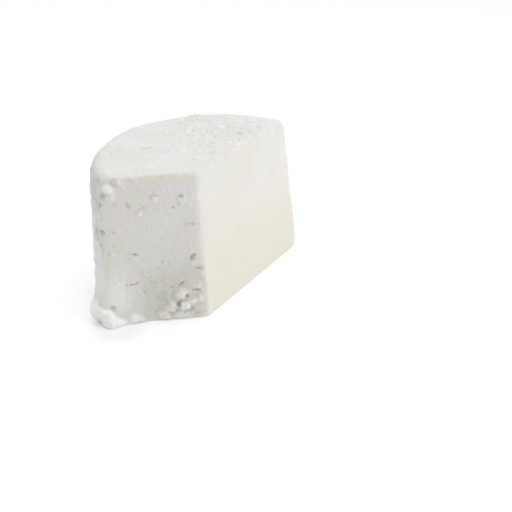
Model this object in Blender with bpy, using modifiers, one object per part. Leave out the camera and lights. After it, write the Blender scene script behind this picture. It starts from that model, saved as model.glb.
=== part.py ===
"""A cut block of fresh ricotta, made as one solid.

The whole cheese is a low wheel that was drained in a basket and turned out upside down, so it is widest
at its foot. One knife cut goes nearly through the wheel's middle and a second meets it in front of the
middle. What is left is a block with two flat cut faces, a round flank, a grainy top and a flat base.

Run with: blender --background --python part.py
"""

import math
import random

import bmesh
import bpy
from mathutils import Matrix, Vector

# Driving dimensions of the wheel, in metres.
WHEEL_HEIGHT = 0.092
TOP_RADIUS = 0.0804  # of the flank, carried up to the level of the top
BASE_RADIUS = 0.0843
SHOULDER_RADIUS = 0.0072  # the rounding between flank and top
TOE_RADIUS = 0.0035  # the rounding under the foot
SLUMP = 0.0042  # how far the top stands to the left of the base

# The foot, where soft curd has spread at the base.
FOOT_HEIGHT = 0.038
FOOT_FLARE = 0.0006  # all round
FOOT_SPREAD = 0.0048  # more, next to the front cut
FOOT_SPREAD_AZIMUTH = math.radians(207)
FOOT_SPREAD_WIDTH = math.radians(10)

# The slow unevenness of the flank, as a sum of waves round the wheel, and of the top.
FLANK_WAVE = 0.0006
TOP_WAVE = 0.0004  # of the top, up and down

# The two cuts meet at the near corner, which leans a little. Azimuths run anticlockwise from +X.
CORNER_AT_BASE = Vector((-0.0142, -0.0328, 0.0))
CORNER_AT_TOP = Vector((-0.0196, -0.0294, WHEEL_HEIGHT))
FRONT_CUT_AZIMUTH = math.radians(189.6)
RIGHT_CUT_AZIMUTH = math.radians(62.6)
CORNER_ROUNDING = 0.0016

# How finely the wheel is divided.
WHEEL_STEPS = 96
FLANK_ROWS = 11
TOP_RINGS = 9
ARC_STEPS = 4

# Curd grains and pores.
SEED = 11
TOP_GRAINS = 34
TOP_GRAIN_WIDTH = (0.0036, 0.0072)
GRAIN_THICKNESS = 0.0034
GRAIN_SUNK = 0.0009  # how far below the surface a grain's middle lies
TOP_PITS = 14
FLANK_PITS = 20
FRONT_PORES = 9
RIGHT_PORES = 8
PORE_WIDTH = (0.0016, 0.0030)
FLANK_SPAN = (72, 194)  # degrees of azimuth clear of both cuts

# Soft curd squeezed out at the foot round the near left corner: azimuth in degrees, height, and the full
# size round the wheel, up and outwards.
FOOT_LUMPS = (
    (206, 0.0072, (0.0120, 0.0135, 0.0060)),
    (201, 0.0060, (0.0140, 0.0130, 0.0060)),
    (195, 0.0050, (0.0120, 0.0100, 0.0050)),
    (188, 0.0040, (0.0120, 0.0070, 0.0030)),
)

# Curd on the front cut: distance from the near corner, height, and the full size along, up and outwards.
FRONT_LUMPS = (
    (0.0675, 0.0070, (0.0110, 0.0110, 0.0100)),  # the spill at the left corner, largest first
    (0.0620, 0.0042, (0.0115, 0.0088, 0.0190)),
    (0.0575, 0.0034, (0.0090, 0.0066, 0.0150)),
    (0.0538, 0.0026, (0.0064, 0.0048, 0.0090)),
    (0.0450, 0.0020, (0.0080, 0.0036, 0.0030)),  # crumbs along the bottom edge
    (0.0410, 0.0034, (0.0056, 0.0050, 0.0046)),
    (0.0375, 0.0026, (0.0046, 0.0044, 0.0040)),
    (0.0209, 0.0093, (0.0060, 0.0048, 0.0034)),  # loose curd low down by the near corner
    (0.0142, 0.0087, (0.0050, 0.0044, 0.0030)),
    (0.0178, 0.0150, (0.0062, 0.0040, 0.0026)),
    (0.0095, 0.0125, (0.0040, 0.0034, 0.0022)),
    (0.0245, 0.0150, (0.0036, 0.0030, 0.0018)),
    (0.0535, 0.0850, (0.0044, 0.0066, 0.0042)),  # the grain at the top left corner
    (0.0335, 0.0712, (0.0028, 0.0024, 0.0016)),
)

# Holes and splits that catch the eye. The last number is a turn in the surface, in radians.
FRONT_HOLES = (
    (0.0065, 0.0397, (0.0032, 0.0046, 0.0050), 0.2),
    (0.0106, 0.0782, (0.0026, 0.0024, 0.0034), 0.0),
    (0.0260, 0.0790, (0.0030, 0.0018, 0.0018), 0.0),
    (0.0408, 0.0439, (0.0036, 0.0018, 0.0030), 0.0),
    (0.0349, 0.0339, (0.0026, 0.0022, 0.0026), 0.3),
    (0.0590, 0.0125, (0.0044, 0.0040, 0.0044), 0.0),
    (0.0155, 0.0229, (0.0052, 0.0020, 0.0040), 0.8),
    (0.0062, 0.0186, (0.0056, 0.0022, 0.0036), 0.0),
    (0.0119, 0.0151, (0.0034, 0.0030, 0.0040), 0.0),
    (0.0040, 0.0609, (0.0090, 0.0010, 0.0020), 0.0),
    (0.0440, 0.0245, (0.0075, 0.0013, 0.0024), -0.15),
    (0.0560, 0.0800, (0.0022, 0.0060, 0.0030), 0.0),
    (0.0530, 0.0890, (0.0040, 0.0030, 0.0030), 0.4),
)
RIGHT_HOLES = (
    (0.0534, 0.0609, (0.0022, 0.0026, 0.0024), 0.0),
    (0.0619, 0.0438, (0.0012, 0.0044, 0.0026), 0.25),
    (0.0134, 0.0282, (0.0050, 0.0034, 0.0018), 0.3),
    (0.0776, 0.0760, (0.0024, 0.0016, 0.0018), 0.0),
)
FLANK_SPLITS = (
    (196, 0.052, (0.0022, 0.0130, 0.0026), 0.35),
    (199, 0.078, (0.0016, 0.0070, 0.0022), 0.5),
)

CURD_COLOUR = (0.86, 0.84, 0.78, 1.0)
CURD_ROUGHNESS = 0.55


def clear_scene():
    for obj in list(bpy.data.objects):
        bpy.data.objects.remove(obj, do_unlink=True)


def new_collection(name):
    collection = bpy.data.collections.new(name)
    bpy.context.scene.collection.children.link(collection)
    return collection


def curd_material():
    material = bpy.data.materials.new("fresh_curd")
    material.use_nodes = True
    shader = material.node_tree.nodes["Principled BSDF"]
    shader.inputs["Base Color"].default_value = CURD_COLOUR
    shader.inputs["Roughness"].default_value = CURD_ROUGHNESS
    shader.inputs["Metallic"].default_value = 0.0
    material.diffuse_color = CURD_COLOUR
    return material


def object_from(bm, name, collection):
    mesh = bpy.data.meshes.new(name)
    bm.to_mesh(mesh)
    bm.free()
    obj = bpy.data.objects.new(name, mesh)
    collection.objects.link(obj)
    return obj


# ---------------------------------------------------------------- where things are


def arc(centre_r, centre_z, radius, start, end, steps):
    """Points of an arc in the (radius, height) plane, from one angle to the other."""
    angles = [start + (end - start) * k / steps for k in range(steps + 1)]
    return [(centre_r + radius * math.cos(a), centre_z + radius * math.sin(a)) for a in angles]


def flank_radius(height):
    """The flank draws in towards the top, and more steeply the higher it is."""
    return TOP_RADIUS + (BASE_RADIUS - TOP_RADIUS) * (1 - (height / WHEEL_HEIGHT) ** 2)


def foot_share(height):
    """1 at the base and 0 from the foot's height up, falling smoothly."""
    low = max(0.0, 1 - height / FOOT_HEIGHT)
    return low * low * (3 - 2 * low)


def wave(azimuth, height):
    """The flank's slow unevenness at a place, outwards."""
    turn = 2 * math.pi * height / WHEEL_HEIGHT
    return FLANK_WAVE * (
        0.6 * math.sin(3 * azimuth - 0.2 + 0.3 * turn)
        + 0.5 * math.sin(7 * azimuth + 2.1 - turn)
        + 0.3 * math.sin(11 * azimuth + 2 * turn)
    )


def foot_spread(azimuth):
    """The foot's flare round the wheel: even, with the bulge beside the front cut."""
    away = math.remainder(azimuth - FOOT_SPREAD_AZIMUTH, 2 * math.pi) / FOOT_SPREAD_WIDTH
    ripple = 0.0005 * math.sin(9 * azimuth) + 0.0003 * math.sin(17 * azimuth + 1.3)
    return FOOT_FLARE + FOOT_SPREAD * math.exp(-away * away) + ripple


def axis_at(height):
    """The wheel's middle at a height: it leans to the left."""
    return Vector((-SLUMP * height / WHEEL_HEIGHT, 0.0, height))


def corner_at(height):
    return CORNER_AT_BASE.lerp(CORNER_AT_TOP, height / WHEEL_HEIGHT)


def along(azimuth):
    return Vector((math.cos(azimuth), math.sin(azimuth), 0.0))


def cut_normal(azimuth, towards):
    """The outward normal of the cut plane that holds the near corner and runs along an azimuth."""
    normal = along(azimuth).cross(CORNER_AT_TOP - CORNER_AT_BASE).normalized()
    return normal if normal.dot(towards) > 0 else -normal


FRONT_NORMAL = cut_normal(FRONT_CUT_AZIMUTH, Vector((0, -1, 0)))
RIGHT_NORMAL = cut_normal(RIGHT_CUT_AZIMUTH, Vector((1, -0.5, 0)))


def on_front(across, height):
    """A place on the front cut: metres from the near corner, and height."""
    return corner_at(height) + along(FRONT_CUT_AZIMUTH) * across, FRONT_NORMAL


def on_right(across, height):
    return corner_at(height) + along(RIGHT_CUT_AZIMUTH) * across, RIGHT_NORMAL


def on_flank(azimuth, height):
    radius = flank_radius(height) + foot_spread(azimuth) * foot_share(height) + wave(azimuth, height)
    return axis_at(height) + along(azimuth) * radius, along(azimuth)


def on_top(x, y):
    return Vector((x, y, WHEEL_HEIGHT)), Vector((0, 0, 1))


def inside_cuts(point, margin):
    """Whether a point lies on the kept side of both cuts, at least margin from each."""
    corner = corner_at(point.z)
    return all((point - corner).dot(n) < -margin for n in (FRONT_NORMAL, RIGHT_NORMAL))


# ---------------------------------------------------------------- the wheel and its cuts


def wheel_profile():
    """The turned outline, from the middle of the top down the outer side to the middle of the base."""
    shoulder_r = TOP_RADIUS - SHOULDER_RADIUS
    shoulder_z = WHEEL_HEIGHT - SHOULDER_RADIUS
    toe_r = BASE_RADIUS - TOE_RADIUS
    points = [(shoulder_r * k / TOP_RINGS, WHEEL_HEIGHT) for k in range(TOP_RINGS)]
    points += arc(shoulder_r, shoulder_z, SHOULDER_RADIUS, math.pi / 2, 0, ARC_STEPS)
    for k in range(1, FLANK_ROWS):
        height = shoulder_z + (TOE_RADIUS - shoulder_z) * k / FLANK_ROWS
        points.append((flank_radius(height), height))
    points += arc(toe_r, TOE_RADIUS, TOE_RADIUS, 0, -math.pi / 2, ARC_STEPS)
    points += [(toe_r / 2, 0.0), (0.0, 0.0)]
    return points


def turned(profile, name, collection):
    """The profile as an edge chain with a Screw modifier, made a mesh and welded at the axis."""
    bm = bmesh.new()
    verts = [bm.verts.new((r, 0.0, z)) for r, z in profile]
    for low, high in zip(verts, verts[1:]):
        bm.edges.new((low, high))
    guide = object_from(bm, name + "_profile", collection)
    screw = guide.modifiers.new("turn", "SCREW")
    screw.steps = screw.render_steps = WHEEL_STEPS
    screw.use_merge_vertices = True
    screw.merge_threshold = 0.00001
    graph = bpy.context.evaluated_depsgraph_get()
    mesh = bpy.data.meshes.new_from_object(guide.evaluated_get(graph))
    bpy.data.objects.remove(guide, do_unlink=True)
    bm = bmesh.new()
    bm.from_mesh(mesh)
    bpy.data.meshes.remove(mesh)
    bmesh.ops.remove_doubles(bm, verts=bm.verts, dist=0.00001)
    bmesh.ops.recalc_face_normals(bm, faces=bm.faces)
    return bm


def slump(bm):
    """Gives the true turned shape its lean, its foot, its uneven flank and its uneven top."""
    for vert in bm.verts:
        height = vert.co.z
        radius = math.hypot(vert.co.x, vert.co.y)
        azimuth = math.atan2(vert.co.y, vert.co.x)
        outer = (radius / TOP_RADIUS) ** 4
        growth = outer * (foot_spread(azimuth) * foot_share(height) + wave(azimuth, height))
        vert.co = axis_at(height) + along(azimuth) * (radius + growth)
        if radius < TOP_RADIUS - SHOULDER_RADIUS and height > WHEEL_HEIGHT / 2:
            vert.co.z += TOP_WAVE * math.sin(90 * vert.co.x + 1) * math.cos(110 * vert.co.y)


def knife_wedge(collection):
    """The space between the two cuts, well past the wheel, with its near edge rounded."""
    reach = 3 * BASE_RADIUS
    over = 0.02
    middle = (FRONT_CUT_AZIMUTH + RIGHT_CUT_AZIMUTH) / 2
    low = corner_at(-over)
    rise = corner_at(WHEEL_HEIGHT + over) - low
    bm = bmesh.new()
    outline = [low, low + along(RIGHT_CUT_AZIMUTH) * reach, low + along(middle) * 2 * reach,
               low + along(FRONT_CUT_AZIMUTH) * reach]
    face = bm.faces.new([bm.verts.new(p) for p in outline])
    raised = bmesh.ops.extrude_face_region(bm, geom=[face])["geom"]
    bmesh.ops.translate(bm, vec=rise, verts=[v for v in raised if isinstance(v, bmesh.types.BMVert)])
    bmesh.ops.recalc_face_normals(bm, faces=bm.faces)
    near = [e for e in bm.edges if all((v.co - corner_at(v.co.z)).length < 0.001 for v in e.verts)]
    bmesh.ops.bevel(bm, geom=near, offset=CORNER_ROUNDING, segments=3, profile=0.5, affect="EDGES")
    return object_from(bm, "knife_wedge", collection)


def apply_boolean(obj, operation, operand, solver="EXACT"):
    """One Boolean with an object or a whole collection, applied, and the operand removed.

    The EXACT solver leaves open edges where many small balls overlap, so those take MANIFOLD.
    """
    modifier = obj.modifiers.new(operation.lower(), "BOOLEAN")
    modifier.operation = operation
    modifier.solver = solver
    if isinstance(operand, bpy.types.Collection):
        modifier.operand_type = "COLLECTION"
        modifier.collection = operand
        used = list(operand.objects)
    else:
        modifier.object = operand
        used = [operand]
    graph = bpy.context.evaluated_depsgraph_get()
    mesh = bpy.data.meshes.new_from_object(obj.evaluated_get(graph))
    obj.modifiers.remove(modifier)
    obj.data = mesh
    for helper in used:
        bpy.data.objects.remove(helper, do_unlink=True)


# ---------------------------------------------------------------- grains, lumps and pores


def facing(normal, turn):
    """A rotation that takes +Z to the normal, turned about it."""
    return normal.to_track_quat("Z", "Y").to_matrix().to_4x4() @ Matrix.Rotation(turn, 4, "Z")


def ball(place, size, collection, name, turn=0.0, depth=0.0, fineness=1):
    """A squashed ball of full size (along, across, through), its middle sunk by depth under a surface."""
    point, normal = place
    bm = bmesh.new()
    bmesh.ops.create_icosphere(bm, subdivisions=fineness, radius=0.5)
    shape = Matrix.Diagonal((size[0], size[1], size[2], 1.0))
    matrix = Matrix.Translation(point - normal * depth) @ facing(normal, turn) @ shape
    bmesh.ops.transform(bm, matrix=matrix, verts=bm.verts)
    return object_from(bm, name, collection)


def add_top_grains(rng, curds):
    """Curd grains that stand out of the top, thickest towards its back."""
    placed = []
    tries = 0
    while len(placed) < TOP_GRAINS and tries < 4000:
        tries += 1
        point = Vector((rng.uniform(-0.085, 0.045), rng.uniform(-0.035, 0.08), WHEEL_HEIGHT))
        near_rim = (point - axis_at(WHEEL_HEIGHT)).length > TOP_RADIUS - SHOULDER_RADIUS
        width = rng.uniform(*TOP_GRAIN_WIDTH)
        crowded = any((point - other).length < 0.6 * (width + size) for other, size in placed)
        if near_rim or crowded or not inside_cuts(point, width / 2):
            continue
        placed.append((point, width))
        size = (width, width * rng.uniform(0.6, 0.9), GRAIN_THICKNESS)
        ball(on_top(point.x, point.y), size, curds, "grain", rng.uniform(0, math.pi), GRAIN_SUNK, 2)


def add_lumps(curds):
    """The spilt foot and the curd that stands out of the front cut."""
    for degrees, height, size in FOOT_LUMPS:
        ball(on_flank(math.radians(degrees), height), size, curds, "foot_lump", 0.2, 0.0, 2)
    for across, height, size in FRONT_LUMPS:
        ball(on_front(across, height), size, curds, "front_lump", 0.0, 0.0, 2)


def add_marked_holes(pores):
    """The holes and splits that catch the eye."""
    for across, height, size, turn in FRONT_HOLES:
        ball(on_front(across, height), size, pores, "front_hole", turn)
    for across, height, size, turn in RIGHT_HOLES:
        ball(on_right(across, height), size, pores, "right_hole", turn)
    for degrees, height, size, turn in FLANK_SPLITS:
        ball(on_flank(math.radians(degrees), height), size, pores, "flank_split", turn)


def add_scattered_pores(rng, pores):
    """Small round holes at random over the cuts, the flank and the top."""

    def size():
        width = rng.uniform(*PORE_WIDTH)
        return (width, width * rng.uniform(0.6, 1.0), width * 1.1)

    for _ in range(FRONT_PORES):
        ball(on_front(rng.uniform(0.006, 0.050), rng.uniform(0.03, 0.086)), size(), pores, "pore")
    for _ in range(RIGHT_PORES):
        ball(on_right(rng.uniform(0.006, 0.105), rng.uniform(0.008, 0.084)), size(), pores, "pore")
    for _ in range(FLANK_PITS):
        azimuth = math.radians(rng.uniform(*FLANK_SPAN))
        ball(on_flank(azimuth, rng.uniform(0.006, 0.080)), size(), pores, "pore")
    made = 0
    while made < TOP_PITS:
        point = Vector((rng.uniform(-0.075, 0.035), rng.uniform(-0.03, 0.07), WHEEL_HEIGHT))
        if inside_cuts(point, 0.003) and (point - axis_at(WHEEL_HEIGHT)).length < 0.070:
            made += 1
            ball(on_top(point.x, point.y), size(), pores, "pore")


def level_base(obj, cutters):
    """Trims what lumps reach below the base, so that the block stands on one flat face."""
    width = 5 * BASE_RADIUS
    depth = 0.03
    bm = bmesh.new()
    bmesh.ops.create_cube(bm, size=1.0)
    matrix = Matrix.Translation((0, 0, -depth / 2)) @ Matrix.Diagonal((width, width, depth, 1.0))
    bmesh.ops.transform(bm, matrix=matrix, verts=bm.verts)
    apply_boolean(obj, "DIFFERENCE", object_from(bm, "table", cutters), "MANIFOLD")


def centre_on_box(obj):
    """Moves the block so that the origin is at the middle of its box, on the base."""
    xs = [v.co.x for v in obj.data.vertices]
    ys = [v.co.y for v in obj.data.vertices]
    middle = Vector(((min(xs) + max(xs)) / 2, (min(ys) + max(ys)) / 2, 0.0))
    obj.data.transform(Matrix.Translation(-middle))


def main():
    clear_scene()
    rng = random.Random(SEED)
    cheese = new_collection("ricotta_block")
    cutters = new_collection("cutters")
    curds = new_collection("curds")
    pores = new_collection("pores")

    bm = turned(wheel_profile(), "ricotta", cutters)
    slump(bm)
    block = object_from(bm, "ricotta", cheese)
    apply_boolean(block, "INTERSECT", knife_wedge(cutters))

    add_top_grains(rng, curds)
    add_lumps(curds)
    apply_boolean(block, "UNION", curds, "MANIFOLD")

    add_marked_holes(pores)
    add_scattered_pores(rng, pores)
    apply_boolean(block, "DIFFERENCE", pores, "MANIFOLD")
    level_base(block, cutters)

    centre_on_box(block)
    block.data.materials.clear()
    block.data.materials.append(curd_material())
    block.data.shade_smooth()
    block.data.set_sharp_from_angle(angle=math.radians(35))


if __name__ == "__main__":
    main()
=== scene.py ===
"""The looks of a cut block of fresh ricotta, laid out as a Blender add-on.

One fine closed surface stands for the block. It starts from the sharp shape (two knife cuts, a turned
flank, a flat top and base), rounds its edges, and then takes the relief of the curd: slow unevenness,
knife drag, pores, grains, the curds that stand out and the soft spill at the foot. All shapes are worked
out in millimetres from the wheel's axis and turned to metres in the mesh.
"""

import math

import bpy
import numpy as np
from mathutils import Matrix, Vector


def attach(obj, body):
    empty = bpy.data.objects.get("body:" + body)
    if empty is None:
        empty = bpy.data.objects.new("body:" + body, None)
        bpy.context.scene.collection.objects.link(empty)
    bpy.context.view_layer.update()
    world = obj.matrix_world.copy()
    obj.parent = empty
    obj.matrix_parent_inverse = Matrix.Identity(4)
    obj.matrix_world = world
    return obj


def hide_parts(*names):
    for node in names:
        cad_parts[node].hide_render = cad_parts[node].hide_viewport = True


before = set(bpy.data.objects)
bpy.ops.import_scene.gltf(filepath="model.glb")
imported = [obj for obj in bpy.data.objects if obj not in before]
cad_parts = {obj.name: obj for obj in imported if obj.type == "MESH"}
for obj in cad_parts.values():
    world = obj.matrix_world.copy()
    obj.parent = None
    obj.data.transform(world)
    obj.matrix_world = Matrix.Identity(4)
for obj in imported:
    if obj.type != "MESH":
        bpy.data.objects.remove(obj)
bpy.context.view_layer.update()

bl_info = {
    "name": "Ricotta Block",
    "version": (1, 0, 0),
    "blender": (4, 5, 0),
    "location": "View3D > Sidebar > Ricotta",
    "description": "A cut block of fresh ricotta with its curd texture, on a light table",
    "category": "Add Mesh",
}

MM = 0.001
NODE = "ricotta"

# Where the wheel's axis meets the base, in the row frame, in millimetres.
WHEEL_AXIS = np.array([22.65, -16.42, 0.0])

# The two cuts. They meet at the near corner, which leans a little.
CORNER_AT_BASE = np.array([-14.2, -32.8])
CORNER_AT_TOP = np.array([-19.6, -29.4])
FRONT_CUT_AZIMUTH = math.radians(189.6)
RIGHT_CUT_AZIMUTH = math.radians(62.6)
SLUMP = 4.2  # how far the top stands to the left of the base

# The flank's slow waves, and the foot where soft curd has spread.
FLANK_WAVE = 0.6
TOP_WAVE = 0.4
FOOT_HEIGHT = 38.0
FOOT_FLARE = 0.6
FOOT_SPREAD = 4.8
FOOT_SPREAD_AZIMUTH = math.radians(207)
FOOT_SPREAD_WIDTH = math.radians(10)

# The far end of the right cut, where the mould has left the wheel a little fuller and rounder.
FAR_AZIMUTH = math.radians(63)
FAR_WIDTH = math.radians(15)
FAR_BULGE = 1.5
FAR_SHOULDER = 4.5

# Edge roundings.
FRONT_TOP_EDGE = 1.5
RIGHT_TOP_EDGE = 2.8
CUT_BASE_EDGE = 0.8
TOE_RADIUS = 3.5
CORNER_POWER = 34.0  # the higher, the sharper the upright edges

# The middle of the top, where its rings close.
POLE = np.array([-27.0, 14.0])

# How many columns each side of the outline gets, and how many rows each stretch gets.
FRONT_COLUMNS = 140
FLANK_COLUMNS = 170
RIGHT_COLUMNS = 98
TOE_ROWS = 8
WALL_ROWS = 124
SHOULDER_ROWS = 14
TOP_ROWS = 84
BASE_ROWS = 6
END_CROWDING = 0.35  # how much closer columns stand at the corners than between them
LOW_CROWDING = 1.2  # the higher, the closer the wall's rows stand low down

# How often a distance is worked out again from the last: to the flank, and to the soft curds.
FLANK_STEPS = 8
CURD_STEPS = 40

# The camera stands in front and a little above, looking 24.8 degrees down.
CAMERA_AT = Vector((0.03715, -0.8228, 0.3972))
CAMERA_TURN = Matrix(((1, 0, 0), (0, 0.4187, -0.9081), (0, 0.9081, 0.4187)))
SENSOR_WIDTH = 36.0  # in millimetres
VIEW_END = 30.0  # how far it sees, in metres

# The dome is brightest this way, to the right and back.
BRIGHT_SIDE = (0.75, 0.661, 0.0)
BLOCK_MIDDLE = Vector((0, 0, 0.045))  # what the softboxes face
# Each softbox's side and place, in metres.
OVERHEAD_SOFTBOX = (1.8, (-0.28, -0.2, 1.4))
SIDE_SOFTBOX = (0.9, (1.6, -0.15, 0.5))

# A painted shadow on the floor: round this spot, in front of the foot at the front left,
# the light table's glow is turned down.
PAINTED_SHADOW_SPOT = (-0.046, -0.067, 0.0)
SHADE_EDGES = (0.007, 0.024)  # dark inside the first distance, lit past the second


# --- colours and small helpers


def linear(hex_colour):
    """An sRGB hex colour as linear red, green and blue."""
    parts = [int(hex_colour[k:k + 2], 16) / 255 for k in (1, 3, 5)]
    return tuple(c / 12.92 if c <= 0.04045 else ((c + 0.055) / 1.055) ** 2.4 for c in parts)


def smooth(low, high, value):
    """0 below low, 1 above high and a smooth S between: t * t * (3 - 2 t)."""
    t = np.clip((value - low) / (high - low), 0.0, 1.0)
    return t * t * (3 - 2 * t)


def heading(azimuth):
    """The unit plan vector of an azimuth: (cosine, sine)."""
    return np.stack([np.cos(azimuth), np.sin(azimuth)], axis=-1)


def round_bell(azimuth, middle, width):
    """1 at the middle azimuth and less to both sides: exp(-(a / width)2), a the nearer way round."""
    away = np.remainder(azimuth - middle + math.pi, 2 * math.pi) - math.pi
    return np.exp(-((away / width) ** 2))


def set_in(value, radius):
    """How far a quarter round of that radius draws a face in, value past its start: r - sqrt(r2 - v2)."""
    past = np.clip(value, 0.0, radius)
    return radius - np.sqrt(radius * radius - past * past)


# --- noise in three dimensions


def scramble(cell, seed):
    """A number from 0 to 1 for each whole-numbered cell: integer products, shifted and mixed."""
    c = cell.astype(np.int64)
    mixed = c[..., 0] * 374761393 + c[..., 1] * 668265263 + c[..., 2] * 974634777 + seed * 144269504
    mixed = mixed & 0xFFFFFFFF
    mixed = ((mixed ^ (mixed >> 13)) * 1274126177) & 0xFFFFFFFF
    mixed = ((mixed ^ (mixed >> 15)) * 2246822519) & 0xFFFFFFFF
    return (mixed ^ (mixed >> 16)) / float(0xFFFFFFFF)


def noise(points, wavelength, seed):
    """Smooth noise from -1 to 1: scrambled corner values blended by the quintic 6t5 - 15t4 + 10t3."""
    p = points / (wavelength * 0.5) + 1000.0
    cell = np.floor(p)
    t = p - cell
    t = t * t * t * (t * (t * 6 - 15) + 10)
    total = 0.0
    for step in np.ndindex(2, 2, 2):
        wx, wy, wz = (t[..., k] if step[k] else 1 - t[..., k] for k in range(3))
        total += wx * wy * wz * scramble(cell + np.array(step), seed)
    return total * 2 - 1


def clumps(points, wavelength, seed):
    """Rounded clumps with sharp creases between them, 0 in the creases to 1: the size of a smooth noise to
    the 0.8."""
    return np.abs(noise(points, wavelength, seed)) ** 0.8


def warped(points, amount, wavelength, seed):
    """Points moved about by three noises, so that round features get uneven outlines."""
    return points + amount * np.stack([noise(points, wavelength, seed + k) for k in range(3)], axis=-1)


def scattered(points, spacing, share, width, seed, kind):
    """Yields, for the 27 cells round each point, the bowl 1 - (d / r)2 about that cell's jittered middle, or
    0 where the cell holds none, its radius r and the cell. kind sets dents apart from grains."""
    p = points / spacing + 1000.0
    home = np.floor(p)
    for step in np.ndindex(3, 3, 3):
        cell = home + np.array(step) - 1
        jitter = np.stack([scramble(cell, seed + k) for k in range(3)], axis=-1)
        gap = (cell + 0.15 + 0.7 * jitter - p) * spacing
        distance = np.sqrt((gap * gap).sum(axis=-1))
        radius = 0.5 * (width[0] + (width[1] - width[0]) * scramble(cell, seed + kind))
        there = scramble(cell, seed + kind + 1) < share
        yield np.clip(1 - (distance / radius) ** 2, 0, 1) * there, radius, cell


def dents(points, spacing, share, width, depth, seed):
    """Round hollows scattered at random: the deepest bowl at each point, its radius times depth deep."""
    lowest = np.zeros(points.shape[:-1])
    for bowl, radius, _ in scattered(points, spacing, share, width, seed, 11):
        lowest = np.maximum(lowest, bowl * radius * depth)
    return lowest


def grains(points, spacing, share, width, height, seed):
    """Curd grains that stand out: the highest dome at each point, the root of a bowl, of uneven height."""
    highest = np.zeros(points.shape[:-1])
    for bowl, _, cell in scattered(points, spacing, share, width, seed, 21):
        highest = np.maximum(highest, np.sqrt(bowl) * height * (0.6 + 0.4 * scramble(cell, seed + 23)))
    return highest


# --- the block's sharp form


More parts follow.
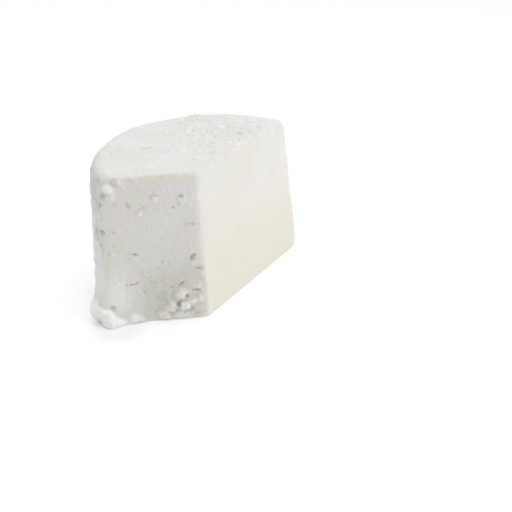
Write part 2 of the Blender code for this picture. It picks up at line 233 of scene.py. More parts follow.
class Wheel:
    """The cut wheel's form: where its flank, cuts and corners are at each height."""

    def __init__(self, height, top_radius, base_radius, shoulder):
        self.height, self.shoulder = height, shoulder
        self.top_radius, self.base_radius = top_radius, base_radius

    def axis(self, z):
        """The wheel's middle in plan, which leans to the left: (-slump z / H, 0)."""
        return np.stack([-SLUMP * z / self.height, np.zeros_like(z)], axis=-1)

    def corner(self, z):
        """The near corner in plan, on a straight leaning edge."""
        share = (z / self.height)[..., None]
        return CORNER_AT_BASE * (1 - share) + CORNER_AT_TOP * share

    def radius(self, azimuth, z):
        """The flank's radius: drawn in with the square of the height, plus waves, foot and roundings."""
        turn = 2 * math.pi * z / self.height
        drawn = self.top_radius + (self.base_radius - self.top_radius) * (1 - (z / self.height) ** 2)
        waves = FLANK_WAVE * (
            0.6 * np.sin(3 * azimuth - 0.2 + 0.3 * turn)
            + 0.5 * np.sin(7 * azimuth + 2.1 - turn)
            + 0.3 * np.sin(11 * azimuth + 2 * turn)
        )
        ripple = 0.5 * np.sin(9 * azimuth) + 0.3 * np.sin(17 * azimuth + 1.3)
        bulge = round_bell(azimuth, FOOT_SPREAD_AZIMUTH, FOOT_SPREAD_WIDTH)
        spread = FOOT_FLARE + FOOT_SPREAD * bulge + ripple
        foot = 1 - smooth(0, FOOT_HEIGHT, z)
        far = round_bell(azimuth, FAR_AZIMUTH, FAR_WIDTH)
        shoulder = self.shoulder + FAR_SHOULDER * far
        rounding = set_in(z - (self.height - shoulder), shoulder) + set_in(TOE_RADIUS - z, TOE_RADIUS)
        return drawn + waves + FAR_BULGE * far + spread * foot - rounding

    def to_flank(self, start, away, azimuth, z):
        """How far the flank lies from start, a plan point seen from the wheel's middle, in direction away,
        and the azimuth where it is met: r2 = |start + t away|2 solved for t, over and over with the radius
        at the last azimuth."""
        half = (start * away).sum(-1)
        for _ in range(FLANK_STEPS):
            reach = self.radius(azimuth, z)
            length = -half + np.sqrt(np.maximum(half * half - (start * start).sum(-1) + reach * reach, 0))
            tip = start + away * length[..., None]
            azimuth = np.arctan2(tip[..., 1], tip[..., 0])
        return length, azimuth

    def far_corner(self, cut_azimuth, z):
        """How far along a cut its far corner lies, where it meets the flank, and the corner's azimuth."""
        start = self.corner(z) - self.axis(z)
        return self.to_flank(start, heading(cut_azimuth), np.full_like(z, cut_azimuth), z)

    def sharp_outline(self, z):
        """Plan points of the sharp outline at each height, one row of columns for each z."""
        front_length, left_azimuth = self.far_corner(FRONT_CUT_AZIMUTH, z)
        right_length, right_azimuth = self.far_corner(RIGHT_CUT_AZIMUTH, z)
        corner = self.corner(z)[:, None, :]
        along_front, along_right = heading(np.array([FRONT_CUT_AZIMUTH, RIGHT_CUT_AZIMUTH]))
        front = corner + along_front * (front_length[:, None] * spaced(FRONT_COLUMNS))[..., None]
        start, end = (np.remainder(a, 2 * math.pi)[:, None] for a in (left_azimuth, right_azimuth))
        azimuth = start - (start - end) * spaced(FLANK_COLUMNS)
        flank = self.axis(z)[:, None, :] + heading(azimuth) * self.radius(azimuth, z[:, None])[..., None]
        right = corner + along_right * (right_length[:, None] * (1 - spaced(RIGHT_COLUMNS)))[..., None]
        return np.concatenate([front, flank, right], axis=1)

    def cut_distance(self, cut_azimuth, side, edge, away, z):
        """How far from the pole a cut lies in direction away: (n . (corner - pole)) / (n . away)."""
        normal = side * heading(cut_azimuth + math.pi / 2)
        drawn_in = set_in(z - (self.height - edge), edge) + set_in(CUT_BASE_EDGE - z, CUT_BASE_EDGE)
        gap = (self.corner(z) - POLE) @ normal - drawn_in
        facing = away @ normal
        return np.where(facing > 0.01, gap[:, None] / np.maximum(facing, 0.01), 1e4)

    def flank_distance(self, away, z):
        """How far from the pole the flank lies in direction away."""
        start = POLE - self.axis(z)[:, None, :]
        return self.to_flank(start, away, np.arctan2(away[..., 1], away[..., 0]), z[:, None])[0]

    def outline(self, z):
        """The outline with its upright edges rounded: the power mean (sum of d to the -p) to the -1/p of
        the distances to both cuts and the flank, along each column's direction from the pole."""
        from_pole = self.sharp_outline(z) - POLE
        away = from_pole / np.linalg.norm(from_pole, axis=-1, keepdims=True)
        reaches = np.stack([
            self.cut_distance(FRONT_CUT_AZIMUTH, 1, FRONT_TOP_EDGE, away, z),
            self.cut_distance(RIGHT_CUT_AZIMUTH, -1, RIGHT_TOP_EDGE, away, z),
            self.flank_distance(away, z),
        ])
        nearest = reaches.min(axis=0)
        mean = nearest * ((nearest / reaches) ** CORNER_POWER).sum(axis=0) ** (-1 / CORNER_POWER)
        return POLE + away * mean[..., None]


def spaced(count):
    """Shares from 0 to just under 1, closer together at both ends: t - w sin(2 pi t) / (2 pi)."""
    t = np.arange(count) / count
    return t - END_CROWDING * np.sin(2 * math.pi * t) / (2 * math.pi)


def wall_heights(wheel):
    """Row heights up the wall: by equal angles in the toe and the shoulder, and between them by a share to
    the power LOW_CROWDING."""
    toe = TOE_RADIUS * (1 - np.cos(np.linspace(0, math.pi / 2, TOE_ROWS, endpoint=False)))
    share = np.linspace(0, 1, WALL_ROWS, endpoint=False) ** LOW_CROWDING
    wall = TOE_RADIUS + (wheel.height - wheel.shoulder - TOE_RADIUS) * share
    bend = np.linspace(0, math.pi / 2, SHOULDER_ROWS + 1)
    shoulder = wheel.height - wheel.shoulder + wheel.shoulder * np.sin(bend)
    return np.concatenate([toe, wall, shoulder])


def block_grid(wheel):
    """Rows of points up the wall and over the top to just before its pole, with the top's slow waves."""
    z = wall_heights(wheel)
    plan = wheel.outline(z)
    wall = np.concatenate([plan, np.broadcast_to(z[:, None, None], plan.shape[:2] + (1,))], axis=-1)
    inward = np.linspace(1, 0, TOP_ROWS + 1)[1:-1, None, None]
    top = POLE + (plan[-1] - POLE) * inward
    top = np.concatenate([top, np.full(top.shape[:2] + (1,), wheel.height)], axis=-1)
    grid = np.concatenate([wall, top])
    tilt = TOP_WAVE * np.sin(0.09 * grid[..., 0] + 1) * np.cos(0.11 * grid[..., 1])
    grid[..., 2] += tilt * smooth(wheel.height - 8, wheel.height, grid[..., 2])
    return grid


def normals_of(grid):
    """Unit normals of a grid that closes round its columns: the cross product of both gradients."""
    across = np.roll(grid, -1, axis=1) - np.roll(grid, 1, axis=1)
    up = np.gradient(grid, axis=0)
    normal = np.cross(up, across)
    return normal / np.maximum(np.linalg.norm(normal, axis=-1, keepdims=True), 1e-9)


# --- mesh building


def make_mesh(name, points, faces, attributes=None):
    """A smooth-shaded mesh object at the origin, from millimetre points round the wheel's axis."""
    mesh = bpy.data.meshes.new(name)
    mesh.from_pydata(((points + WHEEL_AXIS) * MM).tolist(), [], faces)
    for key, values in (attributes or {}).items():
        layer = mesh.attributes.new(key, "FLOAT", "POINT")
        layer.data.foreach_set("value", values.astype(np.float32))
    mesh.validate()
    mesh.shade_smooth()
    obj = bpy.data.objects.new(name, mesh)
    bpy.context.scene.collection.objects.link(obj)
    return obj


def grid_faces(rows, columns):
    """Quads of a grid whose columns close into a ring, facing out as the rows run upwards."""
    r = np.arange(rows - 1)[:, None]
    c = np.arange(columns)[None, :]
    n = (c + 1) % columns
    low, high = r * columns, (r + 1) * columns
    return np.stack([low + n, low + c, high + c, high + n], axis=-1).reshape(-1, 4)


def fan_faces(ring, pole, upwards):
    """Triangles from a ring of point numbers to one pole."""
    after = np.roll(ring, -1)
    first, second = (after, ring) if upwards else (ring, after)
    return np.stack([first, second, np.full_like(ring, pole)], axis=-1)


def add_node(tree, kind, settings=None, **links):
    """Adds a shader node, sets its inputs (by name or number) or its properties, and links its inputs."""
    node = tree.nodes.new("ShaderNode" + kind)
    for key, value in (settings or {}).items():
        if isinstance(key, int) or key in node.inputs:
            node.inputs[key].default_value = value
        else:
            setattr(node, key, value)
    for key, socket in links.items():
        tree.links.new(socket, node.inputs[int(key) if key.isdigit() else key.replace("_", " ")])
    return node


# --- where features sit on the block


class Cut:
    """A flat cut with its own places: distance along from the near corner, height, and out of the cut."""

    def __init__(self, wheel, azimuth):
        self.wheel = wheel
        self.along = np.append(heading(azimuth), 0.0)
        out = np.cross(self.along, np.append(CORNER_AT_TOP - CORNER_AT_BASE, wheel.height))
        out = out / np.linalg.norm(out)
        middle = np.array([POLE[0], POLE[1], wheel.height / 2])
        self.out = out if (middle - self.place(0.0, 0.0)) @ out < 0 else -out
        # 1 where the distance along grows to the right seen from outside, else -1.
        self.rightward = np.sign(np.cross([0.0, 0.0, 1.0], self.out) @ self.along)

    def place(self, across, height):
        """The point on the cut at that distance along and that height."""
        corner = self.wheel.corner(np.array([height]))[0]
        return np.append(corner, height) + self.along * across

    def across(self, points):
        """How far along the cut points lie from the near corner's edge."""
        return ((points[..., :2] - self.wheel.corner(points[..., 2])) * self.along[:2]).sum(-1)

    def depth(self, points):
        """How far points stand out of the cut."""
        return (points - self.place(0.0, 0.0)) @ self.out


def ball(centre, out, size, turn=0.0):
    """A squashed ball: its centre, its three axes as rows (along, up, out) and its half sizes.
    turn, in degrees, swings its long axis up to the right seen from outside."""
    out = np.asarray(out, float) / np.linalg.norm(out)
    along = np.cross([0.0, 0.0, 1.0], out)
    if np.linalg.norm(along) < 0.1:
        along = np.array([1.0, 0.0, 0.0])
    along = along / np.linalg.norm(along)
    up = np.cross(out, along)
    c, s = math.cos(math.radians(turn)), math.sin(math.radians(turn))
    axes = np.array([along * c + up * s, up * c - along * s, out])
    return np.asarray(centre, float), axes, np.array(size) / 2


def reach_out(points, directions, balls):
    """How far each point can go in its direction before it leaves the last ball: the larger root t of
    |p + t d|2 = 1 in each ball's own stretched axes, or 0 outside all of them."""
    furthest = np.zeros(points.shape[:-1])
    for centre, axes, half in balls:
        # Points further off than about twice the half size can't be in this ball.
        near = np.linalg.norm(points - centre, axis=-1) < 2.2 * half.max()
        p = ((points[near] - centre) @ axes.T) / half
        d = (directions[near] @ axes.T) / half
        a = (d * d).sum(-1)
        b = (p * d).sum(-1)
        inside = b * b - a * ((p * p).sum(-1) - 1)
        root = (-b + np.sqrt(np.maximum(inside, 0))) / a
        furthest[near] = np.maximum(furthest[near], np.where((inside > 0) & (root > 0), root, 0))
    return furthest


# On a cut: distance along from the near corner, height, full size along, up and deep (or out), and turn in
# degrees. On the flank the first is the azimuth in degrees.
FRONT_HOLES = (
    (10.7, 78.5, 3.0, 2.4, 5.0, 0), (12.7, 78.3, 2.6, 1.2, 2.2, 0), (28.2, 79.0, 1.6, 2.2, 2.6, 0),
    (24.0, 79.2, 1.8, 1.5, 2.6, 0), (26.0, 80.3, 3.8, 1.0, 2.2, 5), (15.8, 71.8, 1.8, 1.4, 3.2, 0),
    (12.4, 73.9, 1.6, 1.2, 2.2, 30), (42.3, 75.2, 1.3, 3.6, 3.0, 20), (42.0, 74.1, 3.0, 1.2, 2.6, -15),
    (33.4, 72.6, 3.6, 1.6, 3.0, 12), (35.4, 71.8, 1.6, 2.0, 2.4, 0), (5.4, 60.9, 11.0, 1.3, 2.8, -8),
    (9.6, 60.0, 4.0, 1.0, 2.0, -4), (18.7, 54.5, 1.4, 1.4, 2.6, 0), (53.8, 60.2, 2.4, 1.2, 2.4, 10),
    (52.4, 58.2, 2.8, 1.1, 2.4, -15), (40.7, 43.9, 2.4, 1.7, 4.6, 0), (40.7, 43.8, 8.4, 0.8, 2.4, 0),
    (6.7, 39.6, 4.0, 3.8, 6.2, 0), (6.2, 41.0, 2.6, 1.8, 7.2, 0), (34.6, 32.9, 2.4, 1.1, 2.4, -30),
    (25.4, 37.4, 1.8, 3.8, 2.2, -10), (24.2, 36.0, 2.4, 1.2, 1.8, 20), (3.0, 32.4, 6.4, 1.6, 3.8, -8),
    (14.8, 23.2, 4.4, 1.6, 4.8, 38), (5.9, 18.7, 5.0, 1.5, 4.6, -6), (8.6, 19.4, 2.2, 1.0, 2.4, -25),
    (20.6, 21.9, 4.0, 1.3, 3.0, -20), (23.6, 23.6, 2.2, 1.4, 2.4, 30), (20.8, 36.8, 1.6, 3.6, 2.0, -25),
    (27.6, 33.8, 3.4, 1.2, 2.0, -15), (11.9, 14.8, 2.6, 3.4, 6.0, 10), (17.2, 9.6, 3.2, 3.0, 6.0, 0),
    (15.4, 11.4, 6.4, 1.2, 3.8, 3), (28.0, 15.0, 9.0, 9.0, 2.0, 0), (44.8, 24.7, 8.6, 1.2, 3.6, 5),
    (41.2, 25.2, 2.6, 1.6, 4.0, 20), (50.5, 30.5, 3.4, 1.0, 2.4, -25), (56.6, 11.0, 4.6, 2.4, 2.2, 0),
    (56.6, 9.4, 2.6, 3.2, 1.8, 0), (55.4, 81.2, 1.9, 5.4, 6.4, 6), (50.2, 89.6, 2.4, 3.0, 1.7, 20),
    (49.0, 87.6, 2.8, 1.2, 1.8, -10), (54.4, 91.0, 3.0, 1.4, 2.0, 30), (29.5, 61.0, 1.8, 1.2, 1.8, 0),
    (50.8, 51.0, 2.2, 1.2, 1.8, 30), (53.2, 50.7, 3.4, 1.0, 2.2, -4), (22.4, 47.4, 1.4, 1.2, 1.8, 0),
    (30.2, 24.6, 2.8, 1.2, 2.4, 12), (37.0, 18.8, 2.2, 1.2, 1.8, 0),
)
FRONT_LUMPS = (
    (51.0, 81.0, 5.0, 6.0, 1.6, 0), (40.4, 41.9, 4.4, 1.4, 1.0, 0), (6.4, 36.6, 4.8, 2.0, 1.4, 0),
    (56.8, 13.0, 5.4, 2.0, 1.2, 0), (44.5, 26.2, 8.0, 2.0, 0.9, 6), (4.6, 62.6, 9.0, 2.2, 1.0, -9),
)
# Curds that stand further out of the front: each from one ball to another, every ball its distance
# along from the near corner, its height, how far its middle stands out and its half width.
FRONT_CURDS = (
    ((53.0, 86.4, -0.6, 1.9), (52.7, 85.0, 0.0, 2.1)), ((52.3, 82.2, -1.8, 2.0), (52.2, 81.2, -2.0, 1.9)),
    ((46.6, 89.6, -0.4, 1.3), (43.2, 84.6, -0.5, 1.1)), ((36.3, 69.4, -0.2, 1.0), (36.0, 69.2, -0.2, 1.0)),
    ((26.8, 78.5, -0.7, 1.2), (25.2, 78.2, -0.7, 1.2)), ((10.9, 76.5, -0.6, 1.0), (9.8, 76.6, -0.6, 1.0)),
    ((36.4, 32.1, -0.7, 1.1), (35.2, 31.6, -0.7, 1.1)), ((43.2, 42.0, -0.8, 1.0), (41.4, 41.6, -0.8, 1.0)),
    ((54.0, 44.8, -0.7, 1.0), (53.4, 44.5, -0.7, 1.0)), ((49.4, 45.5, -0.8, 1.0), (47.4, 46.0, -0.9, 1.1)),
    ((3.8, 30.2, -2.1, 2.6), (1.8, 30.0, -2.1, 2.4)), ((16.6, 17.4, -2.6, 3.8), (14.0, 17.0, -2.6, 3.8)),
    ((23.4, 8.8, -1.7, 3.2), (21.0, 8.6, -1.5, 3.4)), ((14.2, 8.8, -1.2, 2.8), (12.8, 8.8, -1.2, 2.8)),
    ((9.4, 12.6, -2.1, 2.8), (8.4, 10.2, -2.1, 2.7)), ((7.6, 21.6, -2.3, 2.6), (4.2, 22.0, -2.3, 2.6)),
    ((28.6, 5.4, -1.9, 2.8), (25.4, 3.6, -1.5, 3.0)), ((4.6, 13.6, -2.5, 3.0), (3.6, 11.4, -2.5, 3.0)),
    ((18.0, 2.6, -1.5, 3.0), (12.0, 2.2, -1.5, 2.8)),
)
# Soft curd spilt at the foot of the left corner: rolls, each a path of (x, y, z) with the half width
# there, in millimetres from the wheel's axis.
FOOT_ROLLS = (
    ((-79.4, -31.8, 18.6, 0.9), (-80.4, -34.2, 15.0, 2.0), (-81.0, -36.5, 11.4, 3.4),
     (-80.6, -39.2, 8.0, 4.3), (-77.6, -41.8, 6.6, 3.8), (-74.6, -43.2, 5.2, 3.2), (-71.8, -43.8, 3.8, 2.6),
     (-69.2, -43.4, 2.4, 1.7)),
    ((-75.2, -43.0, 3.0, 2.4), (-73.6, -45.2, 2.4, 3.4), (-71.0, -45.8, 2.0, 3.4), (-68.4, -44.4, 1.6, 2.6),
     (-65.6, -42.6, 1.2, 1.8), (-62.0, -41.5, 0.9, 1.1)),
    ((-61.4, -40.8, 1.6, 1.5), (-59.0, -40.4, 2.6, 2.5), (-56.4, -39.6, 3.0, 2.3), (-54.2, -38.8, 2.6, 1.5)),
)
RIGHT_HOLES = (
    (2.5, 88.4, 1.5, 1.3, 1.4, 0), (24.8, 73.0, 1.8, 1.4, 1.0, 0), (53.4, 60.9, 2.2, 2.4, 2.2, 0),
    (77.6, 76.0, 2.2, 1.4, 1.4, 0), (72.9, 60.6, 1.8, 1.4, 1.4, 0), (61.9, 43.8, 1.1, 4.2, 2.4, -18),
    (47.2, 39.4, 1.4, 1.4, 1.4, 0), (38.3, 60.5, 1.4, 1.4, 1.4, 0), (13.4, 28.2, 5.4, 3.2, 1.2, 20),
    (17.0, 30.4, 3.4, 1.4, 1.2, 30), (88.0, 30.0, 2.4, 1.6, 2.0, 10), (96.5, 56.0, 1.6, 1.6, 1.6, 0),
)
FLANK_HOLES = (
    (200.6, 57.0, 3.0, 6.4, 5.6, 12), (202.4, 51.6, 5.0, 5.4, 6.0, -50), (205.0, 49.2, 4.2, 3.8, 7.6, 20),
    (206.9, 45.9, 2.4, 5.4, 6.4, 8), (207.6, 42.8, 1.8, 3.4, 3.2, 8), (206.2, 57.4, 5.6, 4.2, 7.6, 0),
    (197.5, 52.0, 3.6, 6.5, 5.4, -15), (199.0, 34.0, 2.4, 5.6, 4.6, 8), (203.6, 71.5, 2.0, 7.0, 4.6, -20),
    (194.0, 31.0, 3.0, 5.0, 4.0, 0), (204.5, 24.0, 3.0, 2.8, 5.0, 0), (203.0, 88.0, 3.0, 2.2, 5.0, 0),
    (205.0, 76.0, 6.5, 1.8, 6.0, -40), (199.0, 68.0, 2.2, 3.4, 3.6, 0), (201.0, 62.0, 2.0, 2.4, 3.6, 0),
    (197.5, 82.0, 2.4, 3.0, 3.4, 0),
)
# On the top: place in plan and the width of the hole.
TOP_HOLES = (
    (-51.1, -24.6, 2.4), (-53.8, -23.6, 1.8), (-47.4, -27.6, 2.2), (-53.4, 11.2, 5.2), (-50.4, 12.8, 3.6),
    (-56.8, 12.2, 2.4), (-7.3, 66.8, 1.8), (2.8, 59.3, 1.8), (-15.4, 57.4, 1.7), (-23.8, 46.1, 1.8),
    (4.2, 41.9, 2.6), (-2.2, 32.4, 1.8), (-11.9, 22.0, 1.9), (-0.4, 15.2, 1.8), (-18.2, 28.8, 1.7),
)

# Patches on the front cut: the middle's distance along from the near corner and its height, and how far
# the patch spreads both ways. STEEP is the power that makes one flatter inside and steeper at its edge.
CRUMBLED_CORNER = (15, 8), (12, 12)
# Painted light: a bounce from the floor, low on the left of the front.
PAINTED_BOUNCE_PATCH = (52, 17), (9, 16)
# The pore by the spill, where the whey's tint also paints its shade.
SPILL_PORE = (56.6, 10), (2.4, 2.4)
# Painted shade, a little green, over the lower front by the crumbled corner.
PAINTED_SHADE_PATCH = (19, 15), (21, 21)
# A patch where that painted shade is weaker and the curd creamier.
LESS_SHADE_PATCH = (9, 15), (7, 10)
# Painted shade, a little green, low along the near edge.
PAINTED_SHADE_EDGE = (0, 24), (4, 14)
STEEP = 1.4


def bell(across, height, middle, spread, power=1.0):
    """1 in a patch's middle and less round it: exp(-r2 to the power), with r in units of the spread."""
    r2 = ((across - middle[0]) / spread[0]) ** 2 + ((height - middle[1]) / spread[1]) ** 2
    return np.exp(-(r2 ** power))


class Places:
    """Where the points of the sharp form lie: how far along the front cut, and shares from 0 to 1 of the
    top, the cuts, the flank, the top edges, the crumbled corner, the foot, the left and the flaky top."""

    def __init__(self, wheel, points, normals):
        self.wheel, self.points, self.normals = wheel, points, normals
        self.x, self.z = points[..., 0], points[..., 2]
        self.front, self.right = Cut(wheel, FRONT_CUT_AZIMUTH), Cut(wheel, RIGHT_CUT_AZIMUTH)
        in_front, in_right = self.front.depth(points), self.right.depth(points)
        self.across = self.front.across(points)
        self.on_top = smooth(0.55, 0.9, normals[..., 2])
        self.on_front, self.on_right = smooth(-3, -0.5, in_front), smooth(-3, -0.5, in_right)
        self.on_cut = np.maximum(self.on_front, self.on_right) * (1 - self.on_top)
        self.on_flank = (1 - self.on_top) * (1 - self.on_cut)
        near_top = smooth(wheel.height - 4.5, wheel.height - 1.2, self.z)
        self.at_edge = smooth(-4.5, -1.2, np.maximum(in_front, in_right)) * near_top
        self.crumble = bell(self.across, self.z, *CRUMBLED_CORNER, STEEP) * smooth(-5, -1, in_front)
        self.foot = smooth(16, 4, self.z) * smooth(52, 60, self.across) * smooth(-14, -4, in_front)
        self.far_left = smooth(-66, -76, self.x)
        back = smooth(-45, 35, self.x + 0.7 * points[..., 1])
        self.patchy = smooth(-0.3, 0.5, noise(points, 24, 16))
        self.strewn = self.on_top * (0.22 + 0.78 * back * (0.25 + 0.75 * self.patchy))


def placed_holes(wheel, front, right):
    """All the marked holes, as balls on the block's sharp form."""
    holes = [ball(front.place(u, z), front.out, size, turn) for u, z, *size, turn in FRONT_HOLES]
    holes += [ball(right.place(u, z), right.out, size, turn) for u, z, *size, turn in RIGHT_HOLES]
    holes += [ball((x, y, wheel.height), (0, 0, 1), (w, w * 0.8, w * 0.9)) for x, y, w in TOP_HOLES]
    for azimuth, z, *size, turn in FLANK_HOLES:
        azimuth = np.radians(azimuth)
        out = np.append(heading(azimuth), 0.0)
        middle = np.append(wheel.axis(np.array([z]))[0], z)
        holes.append(ball(middle + out * wheel.radius(azimuth, np.array([z]))[0], out, size, turn))
    return holes


def swellings(cut, across, height, lumps):
    """Lumps on a cut: within each turned ellipse half its thickness times (1 - r2) to the 0.7, and the
    highest of them where they meet. across and height say where each point lies on the cut."""
    highest = np.zeros(across.shape)
    for centre, middle, wide, tall, thick, turn in lumps:
        c, s = math.cos(math.radians(turn)), math.sin(math.radians(turn))
        right, up = cut.rightward * (across - centre), height - middle
        r2 = ((right * c + up * s) / (wide / 2)) ** 2 + ((up * c - right * s) / (tall / 2)) ** 2
        highest = np.maximum(highest, thick / 2 * np.clip(1 - r2, 0, 1) ** 0.7)
    return highest


def beads(path, count):
    """Balls along a smooth curve through a roll's control points: between two of them the cubic whose
    slopes come from their neighbours, for the place and the half width alike."""
    control = np.array(path)
    place = np.linspace(0, len(control) - 1, count)
    start = np.minimum(place.astype(int), len(control) - 2)
    f = (place - start)[:, None]
    before, here, there, after = (control[np.clip(start + k, 0, len(control) - 1)] for k in (-1, 0, 1, 2))
    return here + f / 2 * (
        (there - before) + f * (2 * before - 5 * here + 4 * there - after)
        + f * f * (3 * (here - there) + after - before)
    )


def stand_out(points, ways, balls, blend, furthest):
    """How far each point moves along its way to lie on the block and the balls joined softly.
    It walks in from furthest by 0.8 of the soft union -b log(sum of exp(-d / b)) of its way left and
    its distances to the balls, which closes in on where that union is 0."""
    moved = np.zeros(points.shape[:-1])
    # Only the points near the balls are worked out. Every third ball is enough to find them.
    gap = np.linalg.norm(points[..., None, :] - balls[::3, :3], axis=-1) - balls[::3, 3]
    near = gap.min(axis=-1) < furthest * 0.6
    start, way = points[near], ways[near]
    left = np.full(len(start), float(furthest))
    for _ in range(CURD_STEPS):
        at = start + way * left[:, None]
        apart = np.linalg.norm(at[:, None, :] - balls[:, :3], axis=-1) - balls[:, 3]
        apart = np.concatenate([apart, left[:, None]], axis=1)
        least = apart.min(axis=1)
        left = left - 0.8 * (least - blend * np.log(np.exp(-(apart - least[:, None]) / blend).sum(axis=1)))
    moved[near] = np.maximum(left, 0)
    return moved


# Below, noise and clumps get a wavelength and a seed, and dents and grains a spacing, the share of cells
# that hold one, the least and full width, a depth or height, and a seed.


def curd_height(at, bent, flakes, specks):
    """How high the curd stands: slow unevenness, knife drag on the cuts, fine crumb, crumbled clumps low
    on the front, clumps on the foot, small curds and flakes on the top, coarse curds on the flank, specks,
    and chips along the top edges, all added up."""
    slow = 0.40 * noise(at.points, 42, 5) + 0.18 * noise(at.points, 17, 6)
    leaning = at.points + at.z[..., None] * np.array([0.35, 0.1, 0.0])
    drawn_out = leaning * np.array([1.0, 1.0, 0.14])
    drag = 0.06 * noise(drawn_out, 4.2, 7) + 0.03 * noise(drawn_out, 2.0, 8)
    fine = 0.16 * noise(bent, 7, 9) + 0.13 * noise(bent, 3.6, 10)
    fine += 0.08 * noise(bent, 1.8, 11) * (1 - at.on_flank)
    height = slow + drag * (0.3 + 0.7 * at.on_front) * at.on_cut
    height += fine * (0.25 + 0.75 * at.on_front + 0.9 * at.on_flank + 0.3 * at.on_top)

    loose = warped(at.points, 1.5, 7, 25)
    height += at.crumble * (2.4 * clumps(loose, 13, 12) + 1.2 * clumps(loose, 4.8, 13) - 1.3)
    height += at.foot * (0.7 * clumps(bent, 8, 14) + 0.3 * clumps(bent, 3.6, 15) - 0.3)
    curds = 0.24 * clumps(bent, 6.5, 17) + 0.12 * clumps(bent, 2.8, 18) - 0.12
    height += (curds + flakes) * at.strewn
    coarse = 1.0 * clumps(bent, 9.0, 33) + 0.6 * clumps(bent, 4.6, 34) - 0.7
    height += coarse * at.on_flank * (0.5 + 0.5 * at.patchy)
    height += specks
    chips = 0.35 * noise(bent, 7, 19) + 0.2 * noise(bent, 3, 20)
    return height + (chips - 0.5 * dents(bent, 5.5, 0.4, (2.5, 5.0), 0.4, 21)) * at.at_edge


def pores(at, bent, ragged):
    """How deep the scattered pores are: two sizes all over, and wider ones on the flank and the top."""
    pits = dents(bent, 6.0, 0.30, (1.0, 2.6), 0.5, 30) + 0.6 * dents(bent, 3.4, 0.22, (0.8, 1.7), 0.5, 50)
    on_sides = 1.1 * at.on_front + 0.15 * at.on_right + 0.4 * at.on_flank
    pits *= on_sides + at.on_top * (0.5 + 1.6 * at.strewn)
    pits += dents(bent, 5.6, 0.5, (2.0, 4.6), 0.45, 80) * at.on_flank
    return pits + dents(ragged, 6.0, 0.5, (2.4, 4.6), 0.75, 90) * at.strewn


def curds_on_front(at):
    """How far the marked curds stand out of the front cut, with uneven outlines."""
    balls = np.concatenate([
        beads([np.append(at.front.place(u, h) + at.front.out * out, wide) for u, h, out, wide in ends], 5)
        for ends in FRONT_CURDS
    ])
    uneven = warped(warped(at.points, 0.5, 5.5, 26), 0.35, 2.6, 45)
    return stand_out(uneven, at.normals, balls, 0.5, 8) * at.on_front


def spill_at_foot(at, bent):
    """The soft spill: which way it moves each point, straight out at the base and up to 50 degrees upwards
    higher up, how far, and 1 where it covers the block, else 0, with a soft edge."""
    rise = np.tan(np.radians(50) * smooth(2, 15, at.z))
    upwards = np.maximum(at.normals[..., 2], 0) + rise
    way = np.concatenate([at.normals[..., :2], upwards[..., None]], axis=-1)
    way /= np.linalg.norm(way, axis=-1, keepdims=True)
    rolls = np.concatenate([beads(path, 13) for path in FOOT_ROLLS])
    spilt = stand_out(warped(at.points, 0.9, 8, 29), way, rolls, 0.5, 14)
    spill = smooth(0.3, 1.6, spilt)
    return way, spilt + spill * (0.8 * clumps(bent, 8, 31) + 0.4 * clumps(bent, 3.8, 32) - 0.5), spill


def whiteness_and_painted_light(at, moved, spill, under, stands, specks, flakes):
    """Where the curd is softer and whiter, 0 to 1, partly as painted light: the spill, less under its left
    roll where painted shade lies, the curds that stand out, a painted bounce from the floor on the front
    and the flank beside the spill, the specks and the flakes on the top, the raised bits painted lighter."""
    # The spill is whiter, partly painted light; less under its left roll, where painted shade lies, and at
    # its right end.
    white = spill * (1 - 0.5 * smooth(-66, -62, at.x)) * (1 - 0.8 * under)
    white *= smooth(16.5, 12.5, moved[..., 2])
    # Curds that stand out are whiter, partly painted light on raised bits, most of all on the crumbled
    # corner.
    white = np.maximum(white, (0.45 + 0.5 * at.crumble) * smooth(0.6, 1.8, stands))
    # A painted bounce of light from the floor, low on the left of the front and of the flank.
    painted_bounce = bell(at.across, at.z, *PAINTED_BOUNCE_PATCH) * at.on_front
    painted_bounce += 0.6 * np.exp(-(((at.z - 26) / 16) ** 2)) * at.far_left * at.on_flank
    # Specks and the flakes on the top are whiter too, partly painted light on raised bits.
    white = np.maximum(np.maximum(white, 0.5 * painted_bounce + 0.6 * specks), 0.5 * flakes * at.strewn)
    return np.clip(white, 0, 1)


